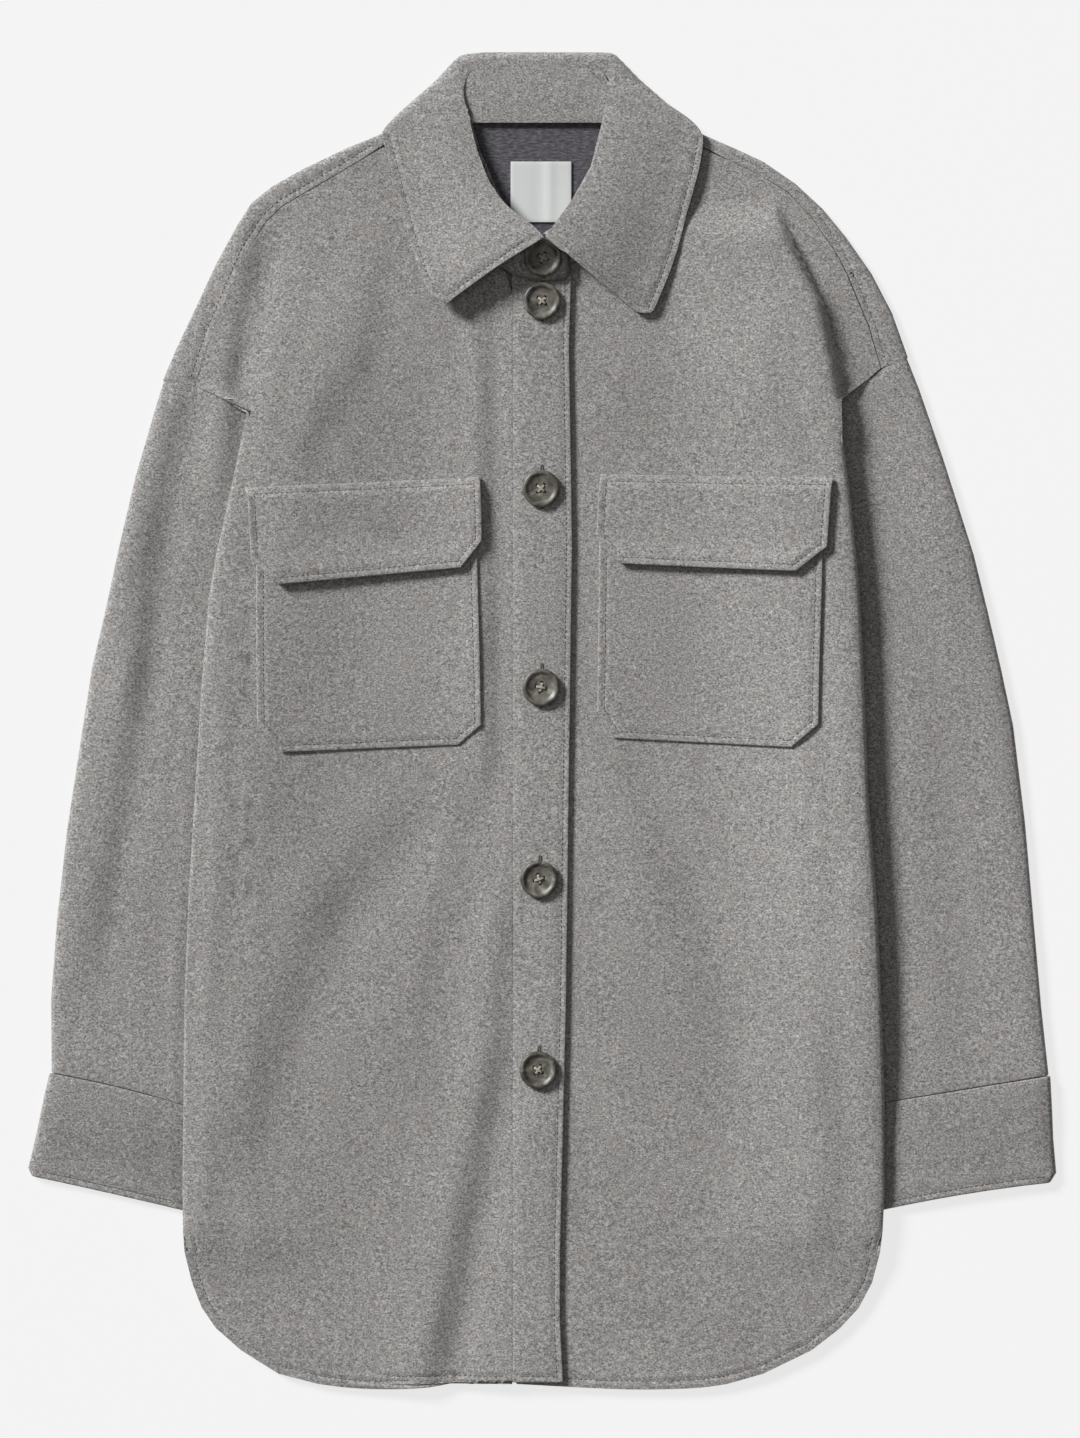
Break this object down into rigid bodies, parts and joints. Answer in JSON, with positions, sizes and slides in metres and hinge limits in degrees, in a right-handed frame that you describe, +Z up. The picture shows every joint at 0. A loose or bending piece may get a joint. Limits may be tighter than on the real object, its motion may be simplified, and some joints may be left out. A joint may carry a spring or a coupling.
{
  "type": "shacket",
  "caption": "Long wool-blend shirt-jacket laid flat, buttoned, with a turned-down collar, flapped chest pockets, dropped shoulders, cuffed sleeves and a curved hem.",
  "frame": {"origin": "centre of the underside of the laid-flat garment's bounding box", "axes": "+Z up from the surface, +Y towards the collar, +X towards the wearer's left side"},
  "size_m": [0.6568, 0.8544, 0.0174],
  "materials": {
    "wool": "brushed grey melange wool-blend twill with a fine pale and dark speckle, matt with a soft nap",
    "dark_cloth": "charcoal woven cloth, matt",
    "white_tape": "plain off-white woven tape with a faint satin sheen",
    "horn": "olive grey-brown marbled horn look, softly polished",
    "thread": "grey sewing thread"
  },
  "bodies": {
    "root": {"back": "wool", "front_right": "wool", "front_left": "wool", "placket": "wool", "yoke": "wool", "yoke_lining": "dark_cloth", "label": "white_tape", "sleeve_right": "wool", "sleeve_left": "wool", "cuff_right": "wool", "cuff_left": "wool", "pocket_right": "wool", "pocket_left": "wool", "flap_right": "wool", "flap_left": "wool", "collar_stand": "wool", "collar": "wool", "button_1": "horn", "button_2": "horn", "button_3": "horn", "button_4": "horn", "button_5": "horn", "button_6": "horn"}
  },
  "joints": []
}
